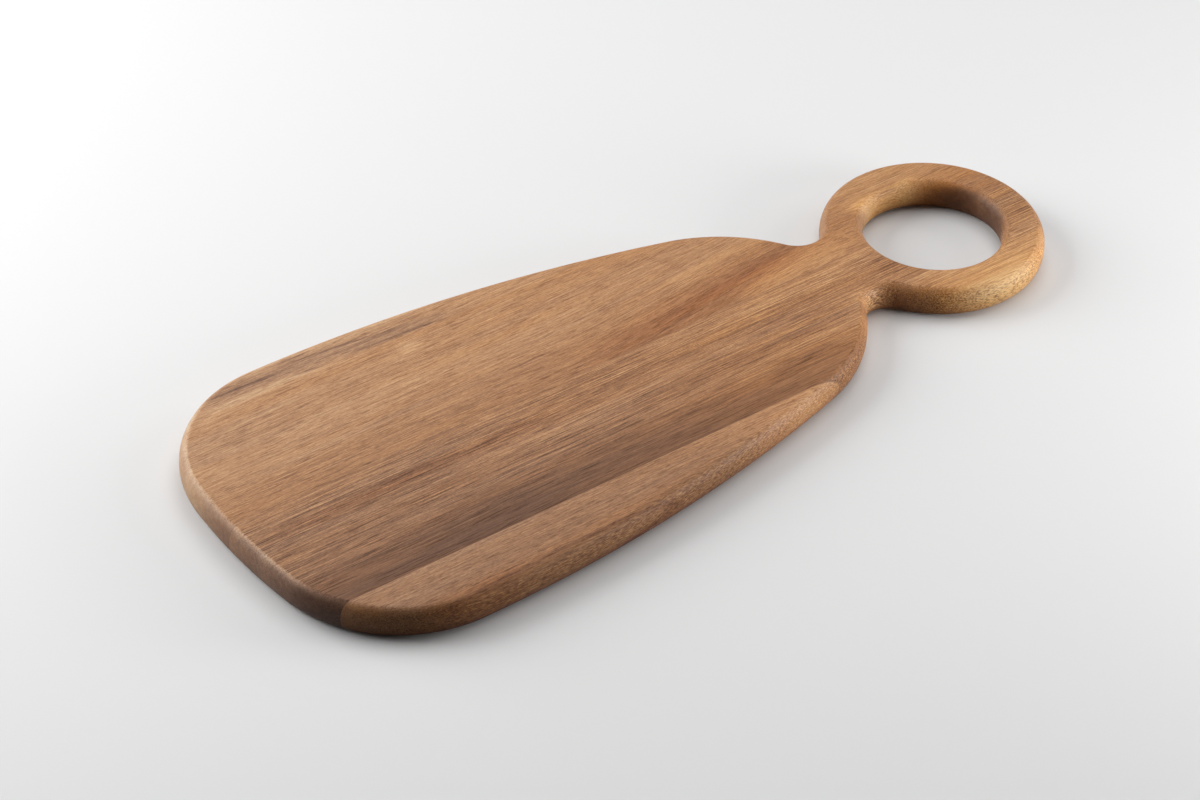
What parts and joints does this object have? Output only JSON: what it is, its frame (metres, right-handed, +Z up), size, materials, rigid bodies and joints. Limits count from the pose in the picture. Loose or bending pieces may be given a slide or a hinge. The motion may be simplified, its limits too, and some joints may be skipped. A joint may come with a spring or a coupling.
{
  "type": "serving board",
  "caption": "Flat bottle-shaped wooden serving board of glued staves, with rounded edges and a ring handle to carry it or hang it by.",
  "frame": {"origin": "under the middle of the board's length and width, on the surface that it rests on", "axes": "+X across the board, +Y along it from the broad end to the ring, +Z up out of the serving face"},
  "size_m": [0.188, 0.45, 0.016],
  "materials": {
    "left_stave_wood": "oiled hardwood, golden brown with soft reddish bands",
    "centre_stave_wood": "oiled hardwood, grey-brown with straight dark lines",
    "right_stave_wood": "oiled hardwood, pale pinkish tan with short fine pores",
    "glue": "cured wood glue, flush with the oiled surface"
  },
  "bodies": {
    "root": {"left_stave": "left_stave_wood", "centre_stave": "centre_stave_wood", "right_stave": "right_stave_wood", "left_glue_line_body": "glue", "left_glue_line_ring": "glue", "right_glue_line": "glue"}
  },
  "joints": []
}
